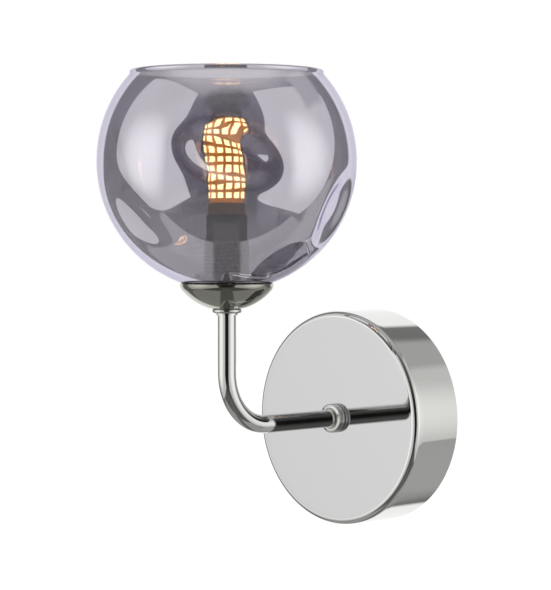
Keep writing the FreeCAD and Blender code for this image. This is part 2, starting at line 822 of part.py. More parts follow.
def make_lamp_cover():
    """Clear tube with a closed, rounded top over the chips."""
    low = core_bottom - lamp_cover_wall
    crown = lamp_cover_edge
    return turned_on_globe_axis([
        (cover_bore_radius, low),
        (cover_radius, low),
        (cover_radius, lamp_top - crown),
        quarter(cover_radius - crown, lamp_top - crown, crown, 0, 90),
        (0, lamp_top),
        (0, lamp_top - lamp_cover_wall),
        (cover_radius - crown, lamp_top - lamp_cover_wall),
        quarter(cover_radius - crown, lamp_top - crown, crown - lamp_cover_wall, 90, 0),
    ])


def make_lamp_pins():
    """Two looped wire pins below the lamp's base."""
    loops = []
    wire = pin_wire_diameter / 2
    half = pin_loop_width / 2 - wire
    straight = pin_length - half - wire
    for side in (1, -1):
        x = side * pin_spacing / 2
        low = lamp_floor - straight
        edges = [
            Part.LineSegment(V(x, -arm_reach - half, lamp_floor), V(x, -arm_reach - half, low)).toShape(),
            Part.Arc(V(x, -arm_reach - half, low), V(x, -arm_reach, low - half),
                     V(x, -arm_reach + half, low)).toShape(),
            Part.LineSegment(V(x, -arm_reach + half, low), V(x, -arm_reach + half, lamp_floor)).toShape(),
        ]
        loops.append(swept(edges, wire))
    return Part.makeCompound(loops)


nodes = {
    "wall_plate": make_wall_plate,
    "wall_bracket": make_wall_bracket,
    "side_grub_screws": make_grub_screws,
    "terminal_block": make_terminal_block,
    "terminal_clamp_screws": make_terminal_screws,
    "terminal_fixing_screw": make_terminal_fixing_screw,
    "earth_screw": make_earth_screw,
    "earth_washer": make_earth_washer,
    "arm_tube": make_arm_tube,
    "plate_collar": make_plate_collar,
    "lock_washer": make_lock_washer,
    "arm_nut": make_arm_nut,
    "cup_collar": make_cup_collar,
    "cup": make_cup,
    "holder_sleeve": make_holder_sleeve,
    "holder_nut": make_holder_nut,
    "holder_ceramic": make_holder_ceramic,
    "holder_contacts": make_holder_contacts,
    "live_wire": lambda: make_wire(1),
    "neutral_wire": lambda: make_wire(-1),
    "lower_washer": make_lower_washer,
    "glass_shade": make_glass_shade,
    "upper_washer": make_upper_washer,
    "shade_ring": make_shade_ring,
    "lamp_base": make_lamp_base,
    "lamp_core": make_lamp_core,
    "lamp_leds": make_lamp_leds,
    "lamp_cover": make_lamp_cover,
    "lamp_pins": make_lamp_pins,
}

os.makedirs("parts", exist_ok=True)
for name, make in nodes.items():
    shape = make()
    shape.exportStep("parts/" + name + ".step")
    box = shape.BoundBox
    print("%-22s solids %3d valid %s volume %9.1f  z %.2f to %.2f" % (
        name, len(shape.Solids), shape.isValid(), shape.Volume, box.ZMin, box.ZMax))
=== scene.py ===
"""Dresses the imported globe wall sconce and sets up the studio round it.

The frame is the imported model, in metres: the wall is the plane y = 0, the light reaches out along -Y
and +Z is up. Each sub-assembly is a class that builds its meshes and gives them their finishes.
"""

import logging
import math
from contextlib import contextmanager
from dataclasses import dataclass, field
from enum import Enum
from functools import cache
from typing import Callable, Iterator, Sequence

import bpy
import numpy as np
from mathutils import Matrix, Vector


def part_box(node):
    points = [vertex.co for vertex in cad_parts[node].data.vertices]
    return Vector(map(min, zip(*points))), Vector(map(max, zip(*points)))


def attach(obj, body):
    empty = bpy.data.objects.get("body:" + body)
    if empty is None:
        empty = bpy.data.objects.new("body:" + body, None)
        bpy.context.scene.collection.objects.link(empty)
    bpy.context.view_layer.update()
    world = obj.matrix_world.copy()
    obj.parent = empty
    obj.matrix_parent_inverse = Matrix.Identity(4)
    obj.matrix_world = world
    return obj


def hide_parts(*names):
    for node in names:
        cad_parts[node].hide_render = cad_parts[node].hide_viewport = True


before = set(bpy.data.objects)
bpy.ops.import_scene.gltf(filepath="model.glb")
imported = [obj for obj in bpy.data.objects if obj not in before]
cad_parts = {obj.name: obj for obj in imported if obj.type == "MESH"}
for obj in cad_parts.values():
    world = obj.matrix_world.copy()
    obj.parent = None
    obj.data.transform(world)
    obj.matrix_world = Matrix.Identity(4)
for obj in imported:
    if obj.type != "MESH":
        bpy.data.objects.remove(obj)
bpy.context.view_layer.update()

log = logging.getLogger("sconce")
Piece = bpy.types.Object
Material = bpy.types.Material
Socket = bpy.types.NodeSocket
Inputs = dict[int | str, object]
Point = tuple[float, float]
Span = tuple[float, float]
Colour = tuple[float, float, float]
ROOM = Vector((0, -1, 0))
UP = Vector((0, 0, 1))
DOUBLE = 1e-6  # Points closer than this, in metres, are one.


class Body(Enum):
    """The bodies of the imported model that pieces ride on."""

    FIXTURE = "fixture"
    GLOBE = "globe"
    LAMP = "lamp"


class Axis(Enum):
    """The two axes that turned pieces share: the globe's upright one and the plate's."""

    GLOBE = "globe"
    PLATE = "plate"


class Element(Enum):
    """What a selection in edit mode picks."""

    POINTS = "VERT"
    EDGES = "EDGE"
    FACES = "FACE"


# Modelling by hand


def deselect_all() -> None:
    """Leaves nothing selected and nothing active."""
    bpy.ops.object.select_all(action="DESELECT")
    bpy.context.view_layer.objects.active = None


def take(piece: Piece) -> None:
    """Makes a piece the only one selected, and active.

    Args:
        piece: The piece to take.
    """
    deselect_all()
    piece.select_set(True)
    bpy.context.view_layer.objects.active = piece


def select_every() -> None:
    """Selects all of the piece that is open in edit mode."""
    bpy.ops.mesh.select_all(action="SELECT")


@contextmanager
def editing(piece: Piece, element: Element = Element.POINTS) -> Iterator[None]:
    """Opens a piece in edit mode and closes it again.

    Args:
        piece: The piece to edit.
        element: What the selection works on.

    Returns:
        The context in which the piece is open.
    """
    take(piece)
    bpy.ops.object.mode_set(mode="EDIT")
    bpy.ops.mesh.select_mode(type=element.value)
    try:
        yield
    finally:
        bpy.ops.object.mode_set(mode="OBJECT")


def pick_faces(piece: Piece, wanted: Callable[[Vector, Vector], bool]) -> None:
    """Selects faces of a piece by their place and normal. Call it in edit mode.

    Args:
        piece: The piece that is open in edit mode.
        wanted: A test of a face's middle and its normal.
    """
    bpy.ops.mesh.select_all(action="DESELECT")
    bpy.ops.object.mode_set(mode="OBJECT")
    for face in piece.data.polygons:
        face.select = wanted(face.center, face.normal)
    bpy.ops.object.mode_set(mode="EDIT")


def name_new(name: str) -> Piece:
    """Names the piece that a primitive has just added.

    Args:
        name: Its name.

    Returns:
        The piece.
    """
    piece = bpy.context.active_object
    piece.name = name
    piece.data.name = name
    return piece


def settle(piece: Piece) -> None:
    """Moves a piece's place, turn and size into its mesh."""
    take(piece)
    bpy.ops.object.transform_apply(location=True, rotation=True, scale=True)


def apply_modifier(piece: Piece, kind: str, **settings: object) -> None:
    """Adds a modifier to a piece, sets it and applies it.

    Args:
        piece: The piece that gets the modifier.
        kind: The modifier's type.
        settings: Its properties and their values.
    """
    take(piece)
    modifier = piece.modifiers.new(kind.title(), kind)
    for key, value in settings.items():
        setattr(modifier, key, value)
    bpy.ops.object.modifier_apply(modifier=modifier.name)


def joined(pieces: Sequence[Piece]) -> Piece:
    """Joins pieces into the first of them.

    Args:
        pieces: The pieces, all in place.

    Returns:
        The first piece, which now holds them all.
    """
    deselect_all()
    for piece in pieces:
        piece.select_set(True)
    bpy.context.view_layer.objects.active = pieces[0]
    bpy.ops.object.join()
    return pieces[0]


def shade(piece: Piece, degrees: float) -> None:
    """Shades a piece smooth, with edges sharper than an angle kept sharp."""
    take(piece)
    bpy.ops.object.shade_smooth_by_angle(angle=math.radians(degrees))


def point_outwards(piece: Piece) -> None:
    """Merges doubled points and turns all faces outwards.

    Args:
        piece: The piece.
    """
    with editing(piece):
        select_every()
        bpy.ops.mesh.remove_doubles(threshold=DOUBLE)
        bpy.ops.mesh.normals_make_consistent(inside=False)


def arc(centre: Point, radius: float, start: float, end: float, steps: int) -> list[Point]:
    """Points of an arc in a profile.

    Args:
        centre: The arc's centre.
        radius: Its radius.
        start: Its first angle in degrees.
        end: Its last angle in degrees.
        steps: How many runs it has.

    Returns:
        The points, both ends included.
    """
    angles = [math.radians(start + (end - start) * step / steps) for step in range(steps + 1)]
    return [(centre[0] + radius * math.cos(a), centre[1] + radius * math.sin(a)) for a in angles]


def outlined(name: str, axis: Axis, profile: Sequence[Point]) -> Piece:
    """Draws a profile's closed outline: a point is drawn out from corner to corner.

    Args:
        name: The piece's name.
        axis: The axis that the profile lies beside.
        profile: Points of radius and distance along the axis.

    Returns:
        The outline, with its place in its mesh.
    """
    corners = [place_on(axis, *point) for point in profile]
    deselect_all()
    bpy.ops.mesh.primitive_plane_add(size=1e-3, location=corners[0])
    piece = name_new(name)
    settle(piece)
    with editing(piece):
        select_every()
        bpy.ops.mesh.merge(type="CENTER")
        select_every()
        for here, corner in zip(corners, corners[1:] + corners[:1]):
            bpy.ops.mesh.extrude_region_move(TRANSFORM_OT_translate={"value": corner - here})
        select_every()
        bpy.ops.mesh.remove_doubles(threshold=DOUBLE)
    return piece


def turned(name: str, axis: Axis, profile: Sequence[Point], steps: int = 128,
           smooth: float = 40.0) -> Piece:
    """Turns a piece: its profile is drawn and spun about the axis.

    Args:
        name: The piece's name.
        axis: The axis that it turns about.
        profile: Points of radius and distance along the axis.
        steps: How many faces go round.
        smooth: The angle in degrees past which an edge stays sharp in the shading.

    Returns:
        The turned piece, with its place in its mesh.
    """
    piece = outlined(name, axis, profile)
    with editing(piece):
        select_every()
        bpy.ops.mesh.spin(steps=steps, angle=2 * math.pi, center=place_on(axis, 0, 0),
                          axis=direction_of(axis))
    point_outwards(piece)
    shade(piece, smooth)
    return piece


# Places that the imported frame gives


@cache
def axis_of_globe() -> Vector:
    """The point where the globe's axis meets the height of the plate's axis."""
    low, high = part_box("cup")
    return Vector(((low.x + high.x) / 2, (low.y + high.y) / 2, 0))


def place_on(axis: Axis, radius: float, distance: float) -> Vector:
    """Finds the place of a profile's point.

    Args:
        axis: The axis.
        radius: The radius off it.
        distance: The distance along it.

    Returns:
        The point's place.
    """
    if axis is Axis.GLOBE:
        return axis_of_globe() + Vector((radius, 0, distance))
    return Vector((radius, -distance, 0))


def direction_of(axis: Axis) -> Vector:
    """The direction of one of the two axes."""
    return UP if axis is Axis.GLOBE else ROOM


def radius_of(node: str) -> float:
    """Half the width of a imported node."""
    low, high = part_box(node)
    return (high.x - low.x) / 2


# Finishes


class Bench:
    """A node tree that is built up a node at a time."""

    def __init__(self, tree: bpy.types.NodeTree) -> None:
        """Starts with an empty tree."""
        self.tree = tree
        tree.nodes.clear()

    def add(self, kind: str, inputs: Inputs | None = None, **settings: object) -> bpy.types.Node:
        """Adds a node.

        Args:
            kind: The node's type.
            inputs: Values or other nodes' outputs for its inputs.
            settings: Its properties.

        Returns:
            The new node.
        """
        node = self.tree.nodes.new(kind)
        for key, value in settings.items():
            setattr(node, key, value)
        self.feed(node, inputs or {})
        return node

    def feed(self, node: bpy.types.Node, inputs: Inputs) -> None:
        """Fills inputs of a node.

        Args:
            node: The node.
            inputs: Values or other nodes' outputs for its inputs.
        """
        for key, value in inputs.items():
            socket = node.inputs[key]
            if isinstance(value, Socket):
                self.tree.links.new(value, socket)
            else:
                socket.default_value = (*value, 1.0) if socket.type == "RGBA" else value

    def maths(self, operation: str, first: object, second: object = 0.0) -> Socket:
        """The result of a sum on two values."""
        return self.add("ShaderNodeMath", {0: first, 1: second}, operation=operation).outputs[0]

    def along(self, direction: Socket, towards: Sequence[float]) -> Socket:
        """How far a direction points towards another, from -1 to 1."""
        node = self.add("ShaderNodeVectorMath", {0: direction, 1: towards}, operation="DOT_PRODUCT")
        return node.outputs["Value"]

    def step(self, value: Socket, start: float, end: float, low: float = 0.0, high: float = 1.0) -> Socket:
        """A smooth rise from low to high as a value goes from start to end.

        Args:
            value: The value that is read.
            start: Where the rise starts.
            end: Where it ends.
            low: The result up to the start.
            high: The result from the end on.

        Returns:
            The result.
        """
        span = {"Value": value, "From Min": start, "From Max": end, "To Min": low, "To Max": high}
        return self.add("ShaderNodeMapRange", span, interpolation_type="SMOOTHSTEP").outputs["Result"]

    def ramp(self, value: Socket, stops: Sequence[Point]) -> Socket:
        """A ramp of greys over a value.

        Args:
            value: The value, from 0 to 1.
            stops: Places and the brightness at each.

        Returns:
            The ramp's colour.
        """
        node = self.add("ShaderNodeValToRGB", {0: value})
        elements = node.color_ramp.elements
        while len(elements) < len(stops):
            elements.new(1.0)
        for element, (place, level) in zip(elements, stops):
            element.position = place
            element.color = (*grey(level), 1.0)
        return node.outputs["Color"]

    def mixed(self, factor: object, first: object, second: object) -> Socket:
        """One colour faded into another by a factor."""
        node = self.add("ShaderNodeMix", {0: factor, 6: first, 7: second}, data_type="RGBA")
        return node.outputs[2]

    def noise(self, scale: float, detail: float = 3.0) -> Socket:
        """Fine noise in the piece's own place, with a scale in waves a metre."""
        place = self.add("ShaderNodeTexCoord").outputs["Object"]
        return self.add("ShaderNodeTexNoise", {0: place, "Scale": scale, "Detail": detail}).outputs["Fac"]

    def bump(self, height: Socket, distance: float) -> Socket:
        """A normal bumped by a height, in metres."""
        node = self.add("ShaderNodeBump", {"Height": height, "Distance": distance, "Strength": 1.0})
        return node.outputs["Normal"]


def grey(level: float) -> Colour:
    """A plain grey of a brightness."""
    return (level, level, level)


def new_material(name: str) -> tuple[Material, Bench, bpy.types.Node]:
    """A material with a Principled shader on its output.

    Args:
        name: The material's name.

    Returns:
        The material, its bench and its shader node.
    """
    material = bpy.data.materials.new(name)
    material.use_nodes = True
    bench = Bench(material.node_tree)
    shader = bench.add("ShaderNodeBsdfPrincipled")
    bench.add("ShaderNodeOutputMaterial", {"Surface": shader.outputs["BSDF"]})
    return material, bench, shader


@dataclass(frozen=True)
class Coating:
    """What every finish has: a name, and the inputs that its shader gets."""

    name: str

    def inputs(self, bench: Bench) -> Inputs:
        """The shader's inputs: values, or outputs of nodes that it adds to the bench."""
        raise NotImplementedError

    def material(self) -> Material:
        """Builds the finish's node material.

        Returns:
            The material.
        """
        material, bench, shader = new_material(self.name)
        bench.feed(shader, self.inputs(bench))
        return material


@dataclass(frozen=True)
class PolishedMetal(Coating):
    """Bright plated or polished metal with a faint unevenness from polishing. Scales are waves a metre."""

    tint: Colour
    roughness: float = 0.03  # Where it is cleanest.
    haze: float = 0.03  # How much rougher it is where it was handled.
    ripple: float = 4e-6  # Height of the polishing ripple in metres.
    haze_scale: float = 90.0
    haze_band: Span = (0.35, 0.75)
    ripple_scale: float = 45.0

    def inputs(self, bench: Bench) -> Inputs:
        """Its colour, with haze in its roughness and a ripple over it.

        Args:
            bench: The material's bench.

        Returns:
            The shader's inputs.
        """
        rough = bench.step(bench.noise(self.haze_scale), *self.haze_band, self.roughness,
                           self.roughness + self.haze)
        return {"Base Color": self.tint, "Metallic": 1.0, "Roughness": rough,
                "Normal": bench.bump(bench.noise(self.ripple_scale, 1.0), self.ripple)}


@dataclass(frozen=True)
class Textured(Coating):
    """A surface with patches of a second colour, uneven gloss and fine marks. Scales are waves a metre."""

    colour: Colour
    patch: Colour
    roughness: float = 0.3
    grain: float = 1e-5  # Depth of the fine marks in metres.
    patch_scale: float = 160.0
    patch_band: Span = (0.4, 0.7)
    gloss_scale: float = 700.0
    gloss_band: Span = (0.3, 0.7)
    gloss_spread: float = 0.3  # How far the roughness varies, as a share of it.
    grain_scale: float = 2200.0

    def inputs(self, bench: Bench) -> Inputs:
        """Colour, roughness and marks, each from a noise of its own.

        Args:
            bench: The material's bench.

        Returns:
            The shader's inputs.
        """
        patches = bench.step(bench.noise(self.patch_scale), *self.patch_band)
        smooth, rough = (self.roughness * (1 + sign * self.gloss_spread) for sign in (-1, 1))
        return {"Base Color": bench.mixed(patches, self.colour, self.patch),
                "Roughness": bench.step(bench.noise(self.gloss_scale), *self.gloss_band, smooth, rough),
                "Normal": bench.bump(bench.noise(self.grain_scale), self.grain)}


@dataclass(frozen=True)
class WorkedMetal(Textured):
    """Duller metal with fine marks: zinc plating, turned brass or bright wire."""

    def inputs(self, bench: Bench) -> Inputs:
        """The texture's inputs, as metal."""
        return super().inputs(bench) | {"Metallic": 1.0}


@dataclass(frozen=True)
class Moulded(Textured):
    """Plastic, rubber or ceramic with a fine surface."""

    roughness: float = 0.4
    grain: float = 8e-6
    patch_scale: float = 220.0
    patch_band: Span = (0.35, 0.7)
    gloss_scale: float = 500.0
    gloss_spread: float = 0.2
    grain_scale: float = 1800.0
    see_through: float = 0.0  # Share of light that passes it.
    ior: float = 1.45
    # Painted glow: light given off by a part that is no lamp, standing in for the lit chips' light falling
    # on it.
    glow: Colour = (0.0, 0.0, 0.0)  # Light that it gives off, as when a lamp behind it lights it.
    painted_glow_strength: float = 0.0

    def inputs(self, bench: Bench) -> Inputs:
        """The texture's inputs, with the light that passes it and the painted glow that it gives off.

        Args:
            bench: The material's bench.

        Returns:
            The shader's inputs.
        """
        light = {"Transmission Weight": self.see_through, "IOR": self.ior,
                 "Emission Color": self.glow, "Emission Strength": self.painted_glow_strength}
        return super().inputs(bench) | light


@dataclass(frozen=True)
class Glass(Coating):
    """Clear or smoked glass, with or without a half mirror on its surface."""

    tint: Colour
    mirror: float = 0.0  # Share of the surface that reflects as metal does.
    wave_depth: float = 0.0  # Height in metres of the slow waves of blown glass.
    rim_tint: Colour = (1.0, 1.0, 1.0)  # Colour that its mirror takes towards its outline.
    wave_scale: float = 28.0
    ior: float = 1.5

    def inputs(self, bench: Bench) -> Inputs:
        """Its tint and mirror, with waves over blown glass.

        Args:
            bench: The material's bench.

        Returns:
            The shader's inputs.
        """
        inputs = {"Base Color": self.tint, "Metallic": self.mirror, "Roughness": 0.0,
                  "IOR": self.ior, "Transmission Weight": 1.0, "Specular Tint": self.rim_tint}
        if self.wave_depth:
            inputs["Normal"] = bench.bump(bench.noise(self.wave_scale, 1.0), self.wave_depth)
        return inputs


@dataclass(frozen=True)
class LitPhosphor(Coating):
    """The lit face of a light chip."""

    colour: Colour = (0.9, 0.75, 0.35)
    light: Colour = (1.0, 0.78, 0.36)
    strength: float = 8.0
    roughness: float = 0.4
    grain: float = 1e-5
    grain_scale: float = 1500.0

    def inputs(self, bench: Bench) -> Inputs:
        """Its colour, its light and a fine grain.

        Args:
            bench: The material's bench.

        Returns:
            The shader's inputs.
        """
        grain = bench.bump(bench.noise(self.grain_scale), self.grain)
        return {"Base Color": self.colour, "Roughness": self.roughness, "Emission Color": self.light,
                "Emission Strength": self.strength, "Normal": grain}

    def material(self) -> Material:
        """Builds the finish's node material. Its faces are too small to be sampled as lamps.

        Returns:
            The material.
        """
        material = super().material()
        material.cycles.emission_sampling = "NONE"
        return material


class Finish(Enum):
    """The finishes of the sconce's pieces."""

    CHROME = PolishedMetal("bright chrome", (0.80, 0.80, 0.775))
    # Painted shade: the plate's flat front gets a darker copy of the chrome, standing in for the dimmer
    # light that it reflects.
    CHROME_FACE = PolishedMetal("chrome face darkened as painted shade", (0.625, 0.625, 0.625), 0.03, 0.03, 2e-6)
    # Painted shade: the cup's chrome is given as a darker, olive copy, standing in for the dim floor that
    # it reflects.
    NICKEL = PolishedMetal("cup chrome darkened as painted shade", (0.46, 0.46, 0.40), 0.05)
    ZINC = WorkedMetal("zinc plate", (0.62, 0.62, 0.60), (0.50, 0.51, 0.52), 0.35)
    BRASS = WorkedMetal("turned brass", (0.80, 0.62, 0.30), (0.66, 0.48, 0.22), 0.28)
    SLEEVE = WorkedMetal("grey threaded sleeve", (0.30, 0.29, 0.28), (0.24, 0.23, 0.22), 0.32)
    BRIGHT_WIRE = WorkedMetal("bright wire", (0.72, 0.72, 0.72), (0.60, 0.60, 0.60), 0.2)
    NYLON = Moulded("white nylon", (0.85, 0.84, 0.80), (0.78, 0.77, 0.73), 0.5)
    CERAMIC = Moulded("holder head", (0.16, 0.14, 0.12), (0.12, 0.105, 0.09), 0.55)
    BROWN_WIRE = Moulded("brown insulation", (0.28, 0.13, 0.06), (0.22, 0.10, 0.05), 0.45)
    BLUE_WIRE = Moulded("blue insulation", (0.06, 0.18, 0.50), (0.05, 0.14, 0.40), 0.45)
    SILICONE = Moulded("clear silicone", (0.85, 0.85, 0.84), (0.78, 0.78, 0.77), 0.3, see_through=0.6)
    # Painted glow: the lamp base, the board and the chips' frames give off light that stands in for the lit
    # chips' light falling on them.
    LAMP_BASE = Moulded("lamp base", (0.62, 0.52, 0.40), (0.52, 0.42, 0.32), 0.45,
                        glow=(1.0, 0.5, 0.2), painted_glow_strength=0.06)
    BOARD = Moulded("lamp board", (0.80, 0.50, 0.20), (0.70, 0.38, 0.12), 0.5,
                    glow=(1.0, 0.36, 0.06), painted_glow_strength=0.9)
    CHIP_FRAME = Moulded("chip frame", (0.9, 0.7, 0.4), (0.8, 0.55, 0.25), 0.4,
                         glow=(1.0, 0.5, 0.12), painted_glow_strength=1.6)
    PHOSPHOR = LitPhosphor("lit phosphor")
    COVER = Glass("clear cover", (0.98, 0.98, 0.98))
    SMOKE = Glass("half mirrored smoke glass", (0.93, 0.908, 0.965), 0.68, 3e-6, (0.60, 0.57, 0.72))
    SMOKE_INSIDE = Glass("smoke glass inside", (0.66, 0.62, 0.715), 0.0, 3e-6)


class Workshop:
    """Dresses pieces: it keeps one material for each finish and says what each piece rides on."""

    def __init__(self) -> None:
        """Starts with no materials made."""
        self.made: dict[Finish, Material] = {}

    def coat(self, finish: Finish) -> Material:
        """The material of a finish, made when it is first asked for.

        Args:
            finish: The finish.

        Returns:
            Its material.
        """
        if finish not in self.made:
            self.made[finish] = finish.value.material()
        return self.made[finish]

    def dress_nodes(self, finish: Finish, *nodes: str) -> None:
        """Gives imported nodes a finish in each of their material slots.

        Args:
            finish: Their finish.
            nodes: The nodes' names.
        """
        for node in nodes:
            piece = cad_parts[node]
            if not piece.material_slots:
                piece.data.materials.append(None)
            for slot in piece.material_slots:
                slot.material = self.coat(finish)
            log.info("%s: %s", node, finish.value.name)

    def dress(self, piece: Piece, finish: Finish, body: Body, node: str) -> None:
        """Gives a new piece its finish, its body and the node that it stands for.

        Args:
            piece: The new piece.
            finish: Its main finish.
            body: The body that it rides on.
            node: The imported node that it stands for.
        """
        if piece.data.materials:
            piece.data.materials[0] = self.coat(finish)
        else:
            piece.data.materials.append(self.coat(finish))
        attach(piece, body.value)
        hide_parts(node)
        log.info("%s: %d faces, %s", piece.name, len(piece.data.polygons), finish.value.name)


# Sub-assemblies


@dataclass
class WallPlate:
    """Round pressed plate with a rounded front edge and a folded rear rim."""

    edge_radius: float = 0.0034
    wall: float = 0.0012
    fold: float = 1.6  # Width of the rear rim's fold, in walls.
    hole_radius: float = 0.0052  # Radius of the hole for the arm.
    segments: int = 288  # How many faces go round.
    edge_steps: int = 16  # How many go over the rounded edge.
    fold_steps: int = 6  # How many go over it inside.
    middle_ring: float = 0.4  # Radius of a ring on the flat front, as a share of the plate's.
    flat_front: float = 0.9999  # How squarely a face looks out for it to belong to the flat front.

    def build(self, workshop: Workshop) -> None:
        """Models the plate's shell and dresses it and the parts behind it.

        Args:
            workshop: What dresses the pieces.
        """
        plate = self.shell()
        workshop.dress(plate, Finish.CHROME, Body.FIXTURE, "wall_plate")
        # Painted shade: the flat front takes the darker copy of the chrome, standing in for the dimmer
        # light that it reflects.
        plate.data.materials.append(workshop.coat(Finish.CHROME_FACE))
        for face in plate.data.polygons:
            face.material_index = int(face.normal.dot(ROOM) > self.flat_front)
        workshop.dress_nodes(Finish.CHROME, "side_grub_screws")
        workshop.dress_nodes(Finish.ZINC, "wall_bracket", "terminal_fixing_screw")
        workshop.dress_nodes(Finish.NYLON, "terminal_block")
        workshop.dress_nodes(Finish.BRASS, "terminal_clamp_screws", "earth_screw", "earth_washer")

    def shell(self) -> Piece:
        """Turns the plate's wall in one profile from its hole to its rear fold.

        Returns:
            The shell.
        """
        low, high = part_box("wall_plate")
        radius, depth, edge = high.x, -low.y, self.edge_radius
        corner = (radius - edge, depth - edge)
        inner = radius - self.wall
        # Rings beside the rounded edge and halfway keep the flat front and the rim flat in the shading.
        outside = [(self.hole_radius, depth), (radius * self.middle_ring, depth),
                   (radius - edge * 2, depth)]
        outside += arc(corner, edge, 90, 0, self.edge_steps)
        outside += [(radius, depth - edge * 2), (radius, depth / 2), (radius, 0)]
        inside = [(radius - self.wall * self.fold, 0), (inner, edge), (inner, depth / 2)]
        inside += arc(corner, edge - self.wall, 0, 90, self.fold_steps)
        inside += [(self.hole_radius, depth - self.wall)]
        return turned("plate_shell", Axis.PLATE, outside + inside, self.segments, 30)


@dataclass
class BentArm:
    """Bent tube with its two collars, its nuts and its wires."""

    tube_radius: float = 0.005
    bend_radius: float = 0.029  # Radius of its bend, to the tube's middle.
    wall: float = 0.001
    play: float = 5e-5  # Gap between the tube and a collar's bore.
    neck: float = 9e-4  # How far the neck under the cup's collar stands out from the tube.
    # Radius of the plate collar's ridges and height of that neck, as a share of the collar's length.
    ridge_share: float = 0.22
    foot: float = 0.90  # Radius of the plate collar's foot, as a share of its widest.
    waist: float = 0.885  # Radius of its waist, as a share of its widest.
    collar_steps: int = 8  # How many faces go over a ridge.
    round_steps: int = 96  # How many faces go round the tube.
    bend_steps: int = 72  # How many faces go along its bend.

    def build(self, workshop: Workshop) -> None:
        """Models the tube and the collars, and dresses them and the hidden nodes.

        Args:
            workshop: What dresses the pieces.
        """
        workshop.dress(self.tube(), Finish.CHROME, Body.FIXTURE, "arm_tube")
        workshop.dress(self.plate_collar(), Finish.CHROME, Body.FIXTURE, "plate_collar")
        workshop.dress(self.cup_collar(), Finish.CHROME, Body.FIXTURE, "cup_collar")
        workshop.dress_nodes(Finish.ZINC, "lock_washer", "arm_nut")
        workshop.dress_nodes(Finish.BROWN_WIRE, "live_wire")
        workshop.dress_nodes(Finish.BLUE_WIRE, "neutral_wire")

    def tube(self) -> Piece:
        """Draws a circle out from the plate, spins it through the bend and draws it up to the holder.

        Returns:
            The tube.
        """
        _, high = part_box("arm_tube")
        turn = -axis_of_globe().y - self.bend_radius
        deselect_all()
        bpy.ops.mesh.primitive_circle_add(vertices=self.round_steps, radius=self.tube_radius,
                                          location=(0, high.y, 0), rotation=(math.pi / 2, 0, 0))
        tube = name_new("arm_bend")
        settle(tube)
        out, rise = (0, -(turn + high.y), 0), (0, 0, high.z - self.bend_radius)
        with editing(tube):
            select_every()
            bpy.ops.mesh.extrude_region_move(TRANSFORM_OT_translate={"value": out})
            bpy.ops.mesh.spin(steps=self.bend_steps, angle=math.pi / 2, axis=(1, 0, 0),
                              center=(0, -turn, self.bend_radius))
            bpy.ops.mesh.extrude_region_move(TRANSFORM_OT_translate={"value": rise})
        point_outwards(tube)
        apply_modifier(tube, "SOLIDIFY", thickness=self.wall, offset=-1, use_even_offset=True)
        shade(tube, 50)
        return tube

    def plate_collar(self) -> Piece:
        """Turns the collar on the plate's face: a dished front lip and two ridges.

        Returns:
            The collar.
        """
        low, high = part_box("plate_collar")
        outer, front, back = high.x, -low.y, -high.y
        bore, steps = self.tube_radius + self.play, self.collar_steps
        ridge = (front - back) * self.ridge_share
        base = [(bore, back), (outer * self.foot, back)]
        back_ridge = arc((outer - ridge, back + ridge), ridge, -60, 90, steps)
        waist = [(outer * self.waist, back + ridge * 2.15)]
        front_ridge = arc((outer - ridge * 1.1, back + ridge * 3.2), ridge, -70, 80, steps + 2)
        lip = arc((outer - ridge * 1.9, front - ridge * 0.55), ridge * 0.5, 60, 180, steps)
        dish = [(bore, front - ridge * 1.1)]
        profile = base + back_ridge + waist + front_ridge + lip + dish
        return turned("plate_collar_turned", Axis.PLATE, profile)

    def cup_collar(self) -> Piece:
        """Turns the round disc under the cup, with full edges and a short neck.

        Returns:
            The collar.
        """
        low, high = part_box("cup_collar")
        bore, neck = self.tube_radius + self.play, self.tube_radius + self.neck
        disc = low.z + (high.z - low.z) * self.ridge_share
        half = (high.z - disc) / 2
        profile = [(bore, low.z), (neck, low.z), (neck, disc)]
        profile += arc((radius_of("cup_collar") - half, disc + half), half * 0.96, -90, 90, 14)
        profile += [(bore, high.z)]
        return turned("cup_collar_turned", Axis.GLOBE, profile)


